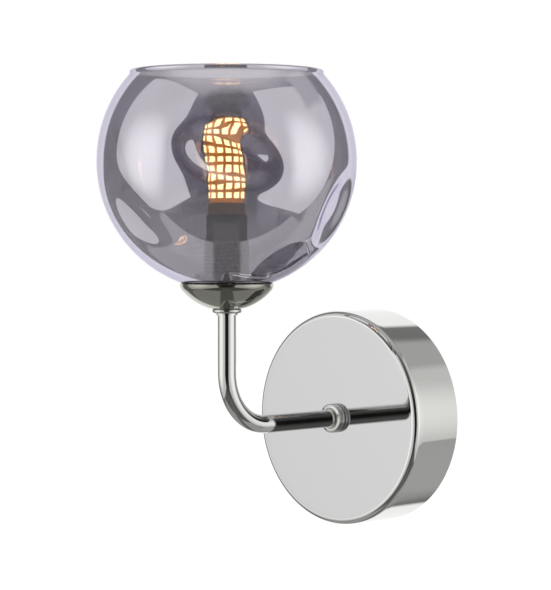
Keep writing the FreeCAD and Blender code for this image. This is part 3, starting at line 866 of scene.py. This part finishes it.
@dataclass
class LampHolder:
    """Cup, threaded sleeve and the washers and ring that clamp the globe."""

    tube_radius: float = 0.005  # Radius of the arm's tube, which carries the cup and the sleeve.
    cup_wall: float = 0.001
    cup_play: float = 1.5e-4  # Gap between the tube and the cup's hole.
    cup_floor_radius: float = 0.010
    cup_shoulder: float = 0.0050  # Radius of the curve that turns the bowl upright under its rim.
    cup_segments: int = 192  # How many faces go round it.
    barrel: float = 0.0125  # Radius of the sleeve's thread at its crest.
    barrel_wall: float = 0.0019  # Thickness of the sleeve there.
    barrel_step: float = 8e-4  # How much narrower the sleeve is below its flange.
    barrel_segments: int = 96  # How many faces go round it.
    barrel_foot: float = 0.0029  # Height at which its foot reaches full width.
    barrel_base: float = 0.0018  # Height of its floor at the hole.
    barrel_floor: float = 0.005  # Height of its floor at the wall.
    seat_bore: float = 0.0085  # Inner radius of the sleeve's floor.
    sleeve_play: float = 5e-5  # Gap between the tube and the sleeve.
    flange: float = 0.0014  # Thickness of the flange that the globe's washer lies on.
    bevel: float = 3e-4  # Width of the bevel at the sleeve's top.
    thread_pitch: float = 0.002  # Rise of the thread in a turn.
    thread_depth: float = 0.0007  # Its depth.
    thread_half: float = 0.46  # Half the width of its root, as a share of the pitch.
    thread_flat: float = 0.06  # Half the width of its crest, as a share of the pitch.
    thread_steps: int = 72  # How many faces it has in a turn.
    thread_gap: float = 2e-4  # Room under it, and half of the room over it.
    thread_root: float = 1e-4  # How deep its ridge is sunk in the barrel.

    def build(self, workshop: Workshop) -> None:
        """Models the cup and the sleeve, and dresses them and the nodes that stay.

        Args:
            workshop: What dresses the pieces.
        """
        # The cup's darker chrome is painted shade, standing in for the dim floor that it reflects.
        workshop.dress(self.cup(), Finish.NICKEL, Body.FIXTURE, "cup")
        workshop.dress(self.sleeve(), Finish.SLEEVE, Body.FIXTURE, "holder_sleeve")
        workshop.dress_nodes(Finish.ZINC, "holder_nut")
        workshop.dress_nodes(Finish.CERAMIC, "holder_ceramic")
        workshop.dress_nodes(Finish.BRASS, "holder_contacts")
        workshop.dress_nodes(Finish.SILICONE, "lower_washer", "upper_washer")
        workshop.dress_nodes(Finish.SLEEVE, "shade_ring")

    def bowl(self, rim: float, top: float) -> tuple[float, float, float]:
        """Finds the bowl's arc, which starts at the floor's edge and runs smoothly into the shoulder.

        Args:
            rim: Radius of the rim.
            top: Height of the shoulder's upper end over the floor.

        Returns:
            Height of the arc's centre, its radius and the angle below level at which it ends.
        """
        turn = 0.0
        for _ in range(12):  # Each round halves the error or better.
            reach = rim - self.cup_shoulder * (1 - math.cos(turn))
            joint = top - self.cup_shoulder * math.sin(turn)
            middle = (reach ** 2 + joint ** 2 - self.cup_floor_radius ** 2) / (2 * joint)
            radius = math.hypot(middle, self.cup_floor_radius)
            turn = math.asin((middle - joint) / radius)
        return middle, radius, math.degrees(turn)

    def cup(self) -> Piece:
        """Turns the bowl with its shoulder and rolled rim.

        Returns:
            The cup.
        """
        low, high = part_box("cup")
        rim, lip, wall = radius_of("cup"), self.cup_wall / 2, self.cup_wall
        hole, top = self.tube_radius + self.cup_play, high.z - low.z - lip
        middle, radius, turn = self.bowl(rim, top)
        centre, corner = (0.0, low.z + middle), (rim - self.cup_shoulder, low.z + top)
        outer_start = math.degrees(math.atan2(-middle, self.cup_floor_radius))
        inner_start = math.degrees(math.asin((wall - middle) / (radius - wall)))
        profile = [(hole, low.z)]
        profile += arc(centre, radius, outer_start, -turn, 40)
        profile += arc(corner, self.cup_shoulder, -turn, 0, 12)[1:]
        profile += arc((rim - lip, low.z + top), lip, 0, 180, 8)[1:]
        profile += arc(corner, self.cup_shoulder - wall, 0, -turn, 8)[1:]
        profile += arc(centre, radius - wall, -turn, inner_start, 32)[1:]
        profile += [(hole, low.z + wall)]
        return turned("cup_bowl", Axis.GLOBE, profile, self.cup_segments)

    def sleeve(self) -> Piece:
        """Turns the sleeve and joins a real thread to its barrel.

        Returns:
            The sleeve.
        """
        low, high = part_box("holder_sleeve")
        flange, flange_top = radius_of("holder_sleeve"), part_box("lower_washer")[0].z
        hole, bore = self.tube_radius + self.sleeve_play, self.barrel - self.barrel_wall
        root, neck = self.barrel - self.thread_depth, self.barrel - self.barrel_step
        floor, under = low.z + self.barrel_base, flange_top - self.flange
        outside = [(hole, low.z), (self.cup_floor_radius - self.cup_wall, low.z),
                   (neck, low.z + self.barrel_foot), (neck, under), (flange, under), (flange, flange_top),
                   (root, flange_top), (root, high.z - self.thread_gap), (root - self.bevel, high.z)]
        inside = [(bore, high.z), (bore, low.z + self.barrel_floor), (self.seat_bore, floor), (hole, floor)]
        core = turned("sleeve_threaded", Axis.GLOBE, outside + inside, self.barrel_segments)
        thread = self.thread(root, flange_top + self.thread_gap, high.z - 2 * self.thread_gap)
        sleeve = joined([core, thread])
        shade(sleeve, 35)
        return sleeve

    def thread(self, root: float, bottom: float, top: float) -> Piece:
        """Draws one tooth and runs it up the barrel as a screw.

        Args:
            root: Radius at the thread's root.
            bottom: Height where it starts.
            top: Height that it stays under.

        Returns:
            The ridge, to be joined to the sleeve.
        """
        turns = int((top - bottom) / self.thread_pitch) - 1
        half, flat = self.thread_pitch * self.thread_half, self.thread_pitch * self.thread_flat
        base = root - self.thread_root
        ridge = outlined("sleeve_ridge", Axis.GLOBE, [
            (base, bottom), (base, bottom + 2 * half),
            (self.barrel, bottom + half + flat), (self.barrel, bottom + half - flat)])
        axis = bpy.data.objects.new("thread_axis", None)
        bpy.context.scene.collection.objects.link(axis)
        axis.location = axis_of_globe()
        bpy.context.view_layer.update()
        apply_modifier(ridge, "SCREW", object=axis, axis="Z", angle=2 * math.pi,
                       screw_offset=self.thread_pitch, iterations=turns, steps=self.thread_steps,
                       render_steps=self.thread_steps, use_merge_vertices=True)
        bpy.data.objects.remove(axis)
        with editing(ridge, Element.EDGES):
            bpy.ops.mesh.select_all(action="DESELECT")
            bpy.ops.mesh.select_non_manifold(extend=False)
            bpy.ops.mesh.fill()
        point_outwards(ridge)
        return ridge


@dataclass(frozen=True)
class Dent:
    """One dent pressed into the soft globe. Pressing thins the glass, so each wall has its own depth."""

    bearing: float  # Degrees round the globe from +X.
    elevation: float  # Degrees above the globe's middle.
    half_length: float  # Half its length in degrees along the glass.
    half_width: float  # Half its width in degrees.
    depth: float  # Its depth in metres in the outer wall.
    inner_depth: float  # Its depth in the inner wall.
    tilt: float  # Degrees that its length is turned.
    firmness: float  # How flat its floor and how steep its walls are; 2 is a plain bell.

    def push(self, directions: np.ndarray) -> np.ndarray:
        """How far this dent reaches each point of the globe.

        Args:
            directions: Unit directions of the points from the globe's centre.

        Returns:
            A share of its depth for each point.
        """
        bearing, elevation, tilt = (math.radians(a) for a in (self.bearing, self.elevation, self.tilt))
        middle = np.array([math.cos(elevation) * math.cos(bearing), math.cos(elevation) * math.sin(bearing),
                           math.sin(elevation)])
        east = np.array([-math.sin(bearing), math.cos(bearing), 0.0])
        north = np.cross(middle, east)
        along = east * math.cos(tilt) + north * math.sin(tilt)
        across = np.cross(middle, along)
        facing = np.clip(directions @ middle, -1, 1)
        spread = np.arccos(facing) / np.maximum(np.sqrt(1 - facing ** 2), 1e-6)
        first = spread * (directions @ along) / math.radians(self.half_length)
        second = spread * (directions @ across) / math.radians(self.half_width)
        reach = np.sqrt(first ** 2 + second ** 2)
        return np.where(facing > 0, np.exp(-reach ** self.firmness), 0.0)


@dataclass
class DentedGlobe:
    """Blown globe of half mirrored smoke glass with dents in its wall and an open top."""

    radius: float = 0.0693
    wall: float = 0.0025  # Thickness of the glass.
    mouth_radius: float = 0.0517  # Outer radius of its open mouth.
    seat_radius: float = 0.017  # Outer radius of the flat that it sits on.
    hole_radius: float = 0.0133  # Radius of the hole in its seat.
    segments: int = 300  # How many faces go round.
    rings: int = 130  # How many go up each wall.
    lip_steps: int = 10  # How many go over the lip.
    top_ease: float = 0.012  # Height under the lip in which the dents fade out.
    seat_ease: float = 0.006  # Height over the seat in which they fade out.
    dents: list[Dent] = field(default_factory=lambda: [
        # The hollow that faces the room: a broad one, and a fold that runs differently in each wall.
        Dent(-42.3, -2.9, 24.2, 27.1, 0.0031, 0.0032, -29, 4.2),
        Dent(-43.9, 1.2, 20.1, 10.7, 0.0055, 0.0, -20.5, 4.6),
        Dent(-42.5, 1.3, 20.0, 11.8, 0.0, 0.00585, -16.7, 5.0),
        # Low on the left, on the right and low on the right.
        Dent(-93.2, -29.2, 18.6, 9.4, 0.0044, 0.0038, -52.8, 2.3),
        Dent(23.4, -23.0, 15.0, 13.0, 0.0052, 0.0044, 85, 3.8),
        Dent(4.9, -51.1, 15.0, 12.0, 0.0018, 0.0018, 22.7, 2.4),
        # Behind.
        Dent(80.0, 5.0, 18.0, 11.5, 0.0050, 0.0043, 60, 3.0),
        Dent(151.0, -33.0, 19.0, 12.5, 0.0055, 0.0048, -25, 3.0),
        Dent(206.0, -2.0, 18.0, 11.5, 0.0050, 0.0043, 50, 3.0),
    ])

    def build(self, workshop: Workshop) -> None:
        """Models the globe and gives it a mirrored outside and a clear smoke inside.

        Args:
            workshop: What dresses the pieces.
        """
        globe = self.blown()
        workshop.dress(globe, Finish.SMOKE, Body.GLOBE, "glass_shade")
        globe.data.materials.append(workshop.coat(Finish.SMOKE_INSIDE))
        self.line_inside(globe)

    def centre(self) -> Vector:
        """Finds the globe's centre from its seat.

        Returns:
            Its place.
        """
        low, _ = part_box("glass_shade")
        drop = math.sqrt(self.radius ** 2 - self.seat_radius ** 2)
        return axis_of_globe() + Vector((0, 0, low.z + drop))

    def blown(self) -> Piece:
        """Turns the wall in one profile with its seat, neck and round lip, and presses the dents in.

        Returns:
            The globe.
        """
        low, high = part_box("glass_shade")
        centre = (0.0, self.centre().z)
        half = self.wall / 2
        walls = []
        for inset in (0.0, self.wall):
            radius = self.radius - inset
            start = math.degrees(math.asin((low.z + inset - centre[1]) / radius))
            end = math.degrees(math.acos((self.mouth_radius - inset) / radius))
            walls.append([(self.hole_radius, low.z + inset)] + arc(centre, radius, start, end, self.rings))
        lip = arc((self.mouth_radius - half, high.z - half), half, 0, 180, self.lip_steps)
        globe = turned("globe_blown", Axis.GLOBE, walls[0] + lip + walls[1][::-1], self.segments, 60)
        self.press_dents(globe)
        return globe

    def press_dents(self, globe: Piece) -> None:
        """Pushes the wall's points in, towards the globe's centre, by the depth of all dents.

        Args:
            globe: The round globe.
        """
        centre = np.array(self.centre())
        points = np.empty(len(globe.data.vertices) * 3)
        globe.data.vertices.foreach_get("co", points)
        away = points.reshape(-1, 3) - centre
        distance = np.linalg.norm(away, axis=1)
        directions = away / distance[:, None]
        is_inner = distance < self.radius - self.wall / 2
        depth = sum(dent.push(directions) * np.where(is_inner, dent.inner_depth, dent.depth)
                    for dent in self.dents)
        height = directions[:, 2] * self.radius
        top = math.sqrt(self.radius ** 2 - self.mouth_radius ** 2)
        bottom = math.sqrt(self.radius ** 2 - self.seat_radius ** 2)
        ease = np.clip((top - height) / self.top_ease, 0, 1)
        ease *= np.clip((bottom + height) / self.seat_ease, 0, 1)
        moved = points.reshape(-1, 3) - directions * (depth * ease * ease * (3 - 2 * ease))[:, None]
        globe.data.vertices.foreach_set("co", moved.ravel())
        globe.data.update()

    def line_inside(self, globe: Piece) -> None:
        """Gives the inner wall its own finish: its faces look towards the globe's centre.

        Args:
            globe: The dressed globe.
        """
        centre = self.centre()
        for face in globe.data.polygons:
            face.material_index = int(face.normal.dot(face.center - centre) < 0)


@dataclass
class PinLamp:
    """Lit pin lamp: rows of square chips on a core under a clear cover."""

    chip_size: float = 0.0031  # Width and height of a chip.
    chip_thickness: float = 0.0005  # How far it stands out from the core.
    chip_frame: float = 0.00015  # Width of the frame round its lit face.
    chip_sink: float = 0.25  # How deep its lit face lies, as a share of its thickness.
    columns: int = 14
    rows: int = 9
    facing: float = 0.9  # How squarely a face looks out for it to be a chip's front.
    nearness: float = 1e-4  # How near a face lies to the depth of the lit faces for it to be one.

    def build(self, workshop: Workshop) -> None:
        """Models the chips and dresses the lamp's nodes.

        Args:
            workshop: What dresses the pieces.
        """
        chips = self.chips()
        # The chips' frames, the lamp base and the board carry painted glow, standing in for the lit chips'
        # light falling on them.
        workshop.dress(chips, Finish.CHIP_FRAME, Body.LAMP, "lamp_leds")
        chips.data.materials.append(workshop.coat(Finish.PHOSPHOR))
        self.light_faces(chips)
        workshop.dress_nodes(Finish.LAMP_BASE, "lamp_base")
        workshop.dress_nodes(Finish.BOARD, "lamp_core")
        workshop.dress_nodes(Finish.COVER, "lamp_cover")
        workshop.dress_nodes(Finish.BRIGHT_WIRE, "lamp_pins")

    def chip(self) -> Piece:
        """Models the lowest chip on the core's right side, with a sunken face in a narrow frame.

        Returns:
            The chip.
        """
        out = radius_of("lamp_core") + self.chip_thickness / 2
        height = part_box("lamp_leds")[0].z + self.chip_size / 2
        deselect_all()
        bpy.ops.mesh.primitive_cube_add(size=1, location=axis_of_globe() + Vector((out, 0, height)),
                                        scale=(self.chip_thickness, self.chip_size, self.chip_size))
        chip = name_new("light_chips")
        settle(chip)
        sink = (-self.chip_thickness * self.chip_sink, 0, 0)
        with editing(chip, Element.FACES):
            pick_faces(chip, lambda middle, normal: normal.x > self.facing)
            bpy.ops.mesh.inset(thickness=self.chip_frame)
            bpy.ops.mesh.extrude_region_move(TRANSFORM_OT_translate={"value": sink})
        return chip

    def chips(self) -> Piece:
        """Copies the chip round the core and up it.

        Returns:
            All chips as one piece.
        """
        low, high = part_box("lamp_leds")
        pitch = (high.z - low.z - self.chip_size) / (self.rows - 1)
        chip = self.chip()
        copies = [chip]
        for _ in range(self.rows * self.columns - 1):
            copy = chip.copy()
            copy.data = chip.data.copy()
            bpy.context.scene.collection.objects.link(copy)
            copies.append(copy)
        for index, copy in enumerate(copies):
            row, column = divmod(index, self.columns)
            take(copy)
            bpy.ops.transform.translate(value=(0, 0, row * pitch))
            bpy.ops.transform.rotate(value=-2 * math.pi * (column + 0.5) / self.columns, orient_axis="Z",
                                     center_override=axis_of_globe())
            bpy.ops.object.transform_apply(location=True, rotation=True, scale=True)
        return joined(copies)

    def light_faces(self, chips: Piece) -> None:
        """Gives each chip's sunken face the lit finish.

        Args:
            chips: The dressed chips.
        """
        globe = axis_of_globe()
        lit_radius = radius_of("lamp_core") + self.chip_thickness * (1 - self.chip_sink)
        for face in chips.data.polygons:
            out = Vector((face.center.x - globe.x, face.center.y - globe.y, 0))
            square_on = face.normal.dot(out.normalized()) > self.facing
            face.material_index = int(square_on and abs(out.length - lit_radius) < self.nearness)


# Studio


@dataclass(frozen=True)
class SoftBox:
    """A soft light or a card as the object sees it: a panel with four straight edges."""

    # Directions to its corners, in order round it, as right, up and towards the camera.
    corners: tuple[tuple[float, float, float], ...]
    hot: tuple[float, float, float]  # The direction of its brightest place.
    peak: float = 1.12  # Brightness there.
    edge: float = 0.60  # Brightness far from it.
    softness: float = 0.015  # How gradually its edges end.


@dataclass
class Studio:
    """Plain white backdrop and floor, soft light and the camera."""

    azimuth: float = 44.35  # Degrees that the camera stands to the right of the light's front.
    elevation: float = 1.65  # Degrees that it looks down.
    distance: float = 1.300  # How far it stands from the plate.
    centre_right: float = -0.05793  # How far its line of sight passes to the right of the plate's middle.
    centre_up: float = 0.06826
    focal_px: float = 2271.67  # Focal length in pixels of the frame.
    sensor_mm: float = 36.0
    clip: Span = (0.05, 20.0)  # Nearest and farthest that the camera sees.
    frame_px: tuple[int, int] = (551, 590)
    floor_height: float = -0.55
    floor_size: float = 14.0
    floor_colour: float = 0.86  # Its brightness under light.
    floor_roughness: float = 0.9
    floor_white: float = 0.62  # How much light its backdrop white adds for the camera and through glass.
    # Place of the side lamps: out to each side, towards the camera and up.
    lamp_place: tuple[float, float, float] = (1.4, 0.7, 0.5)
    lamp_size: float = 1.2
    lamp_powers: Span = (7.0, 8.0)  # Power in watts of the left and the right one.
    daylight: float = 0.55  # Brightness all round for matt pieces.
    # How near to a soft box's hot place its brightness starts to rise, and where it would peak.
    fade: Span = (0.80, 1.03)
    # Brightness of the room in metal, from behind the object to the camera.
    room: tuple[Point, ...] = ((0.0, 1.0), (0.123, 1.0), (0.143, 0.196), (0.35, 0.166), (0.65, 0.186),
                               (0.90, 0.10), (0.965, 0.05), (0.985, 0.015), (1.0, 0.01))
    ceiling: float = 0.46
    # Heights between which the room turns into the ceiling.
    ceiling_rise: Span = (0.70, 0.95)
    dark_floor: float = 0.11
    floor_sheet: float = 0.33  # Brightness of the pale sheet on the floor.
    floor_fall: Span = (-0.66, -0.62)  # Depths between which the room turns into the floor.
    floor_end: Span = (-0.75, -0.71)  # Where the floor ends behind the object.
    sheet_slope: float = 0.277  # How far the sheet's front edge runs down as it comes forward.
    sheet_edge: float = 0.03
    # Soft boxes and cards, each over those before it.
    boxes: tuple[SoftBox, ...] = (
        # Grey card low on the right.
        SoftBox(((1, -0.25, 0.15), (1, -0.15, -0.45), (1, -1.2, -1.3), (1, -1.7, -0.5)), (1, -0.8, -0.4),
                0.40, 0.36, 0.12),
        # Left and right soft box.
        SoftBox(((-1, 2.449, 1.452), (-1, 1.149, -0.507), (-1, -0.674, -0.328), (-1, -1.415, 3.02)),
                (-1, 0.043, 0.291)),
        SoftBox(((1, 2.408, 1.561), (1, 0.74, -0.72), (1, -0.73, 0.074), (1, -1.303, 2.825)),
                (1, 0.07, 0.33)),
        # Grey card high on the right, and a dark strip on the floor.
        SoftBox(((1, 0.66, -0.05), (1, 0.66, -0.6), (1, 1.3, -1.1), (1, 1.5, -0.3)), (1, 1.0, -0.5),
                0.42, 0.36, 0.1),
        SoftBox(((-0.13, -1, -0.9), (0.13, -1, -0.9), (0.13, -0.7, 0.8), (-0.13, -0.7, 0.8)), (0, -1, 0),
                0.14, 0.14, 0.05),
    )

    def axes(self) -> tuple[Vector, Vector, Vector]:
        """Finds the camera's right, up and back directions.

        Returns:
            The three directions.
        """
        azimuth, elevation = math.radians(self.azimuth), math.radians(self.elevation)
        back = Vector((math.sin(azimuth) * math.cos(elevation), -math.cos(azimuth) * math.cos(elevation),
                       math.sin(elevation)))
        right = Vector((math.cos(azimuth), math.sin(azimuth), 0))
        return right, back.cross(right), back

    def front(self) -> Vector:
        """The level direction from the object towards the camera."""
        _, _, back = self.axes()
        return Vector((back.x, back.y, 0)).normalized()

    def in_room(self, direction: Sequence[float]) -> Vector:
        """Turns a direction given as right, up and towards the camera into the room's own."""
        right, _, _ = self.axes()
        return (right * direction[0] + UP * direction[1] + self.front() * direction[2]).normalized()

    def build(self) -> None:
        """Makes the camera, the floor, the lamps and the world."""
        self.camera()
        self.floor()
        self.lamps()
        self.world()
        bpy.context.scene.view_settings.view_transform = "Standard"

    def stand(self, name: str, data: bpy.types.ID, place: Vector, facing: Vector) -> Piece:
        """Stands the camera or a lamp in the studio.

        Args:
            name: Its name.
            data: What it is.
            place: Where it stands.
            facing: The direction that it looks in.

        Returns:
            Its object.
        """
        stood = bpy.data.objects.new(name, data)
        bpy.context.scene.collection.objects.link(stood)
        stood.location = place
        stood.rotation_mode = "QUATERNION"
        stood.rotation_quaternion = facing.to_track_quat("-Z", "Y")
        return stood

    def camera(self) -> None:
        """Places the camera at the photograph's viewing angle."""
        right, up, back = self.axes()
        data = bpy.data.cameras.new("photo camera")
        data.sensor_width = self.sensor_mm
        data.lens = self.sensor_mm * self.focal_px / max(self.frame_px)
        data.clip_start, data.clip_end = self.clip
        place = back * self.distance + right * self.centre_right + up * self.centre_up
        bpy.context.scene.camera = self.stand("photo camera", data, place, -back)

    def floor(self) -> None:
        """Lays a pale floor well below the light. Metal sees the studio's own floor instead."""
        deselect_all()
        bpy.ops.mesh.primitive_plane_add(size=self.floor_size, location=(0, 0, self.floor_height))
        floor = name_new("studio_floor")
        settle(floor)
        material, bench, shader = new_material("pale floor")
        bench.feed(shader, {"Base Color": grey(self.floor_colour), "Roughness": self.floor_roughness})
        path = bench.add("ShaderNodeLightPath")
        seen = bench.maths("MAXIMUM", path.outputs["Is Camera Ray"], path.outputs["Is Transmission Ray"])
        white = bench.maths("MULTIPLY", seen, self.floor_white)
        glow = bench.add("ShaderNodeEmission", {"Color": grey(1.0), "Strength": white})
        both = bench.add("ShaderNodeAddShader", {0: shader.outputs["BSDF"], 1: glow.outputs["Emission"]})
        output = next(node for node in bench.tree.nodes if node.type == "OUTPUT_MATERIAL")
        bench.tree.links.new(both.outputs["Shader"], output.inputs["Surface"])
        floor.data.materials.append(material)
        floor.visible_glossy = False

    def lamps(self) -> None:
        """Hangs two large soft lamps that light the matt pieces from both sides."""
        right, _, back = self.axes()
        aside, forward, up = self.lamp_place
        for side, power in zip((-1, 1), self.lamp_powers):
            data = bpy.data.lights.new("side lamp", "AREA")
            data.shape, data.size, data.energy = "SQUARE", self.lamp_size, power
            place = right * side * aside + back * forward + UP * up
            lamp = self.stand("side lamp", data, place, axis_of_globe() - place)
            lamp.visible_glossy = lamp.visible_camera = lamp.visible_transmission = False

    def world(self) -> None:
        """Paints the studio: white for the camera and through glass, and a room in metal."""
        world = bpy.data.worlds.new("studio")
        world.use_nodes = True
        bpy.context.scene.world = world
        bench = Bench(world.node_tree)
        path = bench.add("ShaderNodeLightPath")
        metal = bench.add("ShaderNodeBackground", {"Color": self.reflected(bench), "Strength": 1.0})
        plain = bench.add("ShaderNodeBackground", {"Color": grey(1.0), "Strength": 1.0})
        soft = bench.add("ShaderNodeBackground", {"Color": grey(1.0), "Strength": self.daylight})
        mirrored = bench.maths("GREATER_THAN", path.outputs["Glossy Depth"], 0.5)
        seen = bench.maths("MAXIMUM", path.outputs["Is Camera Ray"], path.outputs["Is Transmission Ray"])
        first = bench.add("ShaderNodeMixShader", {0: seen, 1: soft.outputs[0], 2: plain.outputs[0]})
        last = bench.add("ShaderNodeMixShader", {0: mirrored, 1: first.outputs[0], 2: metal.outputs[0]})
        bench.add("ShaderNodeOutputWorld", {"Surface": last.outputs[0]})

    def reflected(self, bench: Bench) -> Socket:
        """Paints what metal and glass reflect: the room, its ceiling and floor, and the soft boxes.

        Args:
            bench: The world's bench.

        Returns:
            Its colour along a ray.
        """
        ray = bench.add("ShaderNodeTexCoord").outputs["Generated"]
        towards, height = bench.along(ray, self.front()), bench.along(ray, UP)
        spread = bench.maths("MULTIPLY", bench.maths("ADD", towards, 1.0), 0.5)
        overhead = bench.step(height, *self.ceiling_rise)
        room = bench.mixed(overhead, bench.ramp(spread, self.room), grey(self.ceiling))
        beyond = bench.maths("ADD", towards, bench.maths("MULTIPLY", height, self.sheet_slope))
        before_sheet = bench.step(beyond, -self.sheet_edge, self.sheet_edge)
        floor = bench.mixed(before_sheet, grey(self.floor_sheet), grey(self.dark_floor))
        underfoot = bench.maths("MULTIPLY", bench.step(height, *self.floor_fall, 1.0, 0.0),
                                bench.step(towards, *self.floor_end))
        light = bench.mixed(underfoot, room, floor)
        for box in self.boxes:
            light = bench.mixed(self.inside(bench, ray, box), light, self.panel(bench, ray, box))
        return light

    def inside(self, bench: Bench, ray: Socket, box: SoftBox) -> Socket:
        """Whether a ray meets a soft box: it is on the inner side of all four edges.

        Args:
            bench: The world's bench.
            ray: The ray's direction.
            box: The soft box.

        Returns:
            1 inside the box and 0 outside it, with a soft edge.
        """
        corners = [self.in_room(corner) for corner in box.corners]
        hot = self.in_room(box.hot)
        whole = None
        for first, second in zip(corners, corners[1:] + corners[:1]):
            normal = first.cross(second).normalized()
            if normal.dot(hot) < 0:
                normal = -normal
            side = bench.step(bench.along(ray, normal), -box.softness / 2, box.softness / 2)
            whole = side if whole is None else bench.maths("MULTIPLY", whole, side)
        return whole

    def panel(self, bench: Bench, ray: Socket, box: SoftBox) -> Socket:
        """A soft box's brightness along a ray: it fades from its hot place to its edge."""
        near = bench.along(ray, self.in_room(box.hot))
        return bench.step(near, *self.fade, box.edge, box.peak)


def main() -> None:
    """Builds the sub-assemblies in order, then the studio."""
    logging.basicConfig(level=logging.INFO, format="%(name)s %(message)s")
    workshop = Workshop()
    WallPlate().build(workshop)
    BentArm().build(workshop)
    LampHolder().build(workshop)
    DentedGlobe().build(workshop)
    PinLamp().build(workshop)
    Studio().build()
    deselect_all()


if __name__ == "__main__":
    main()
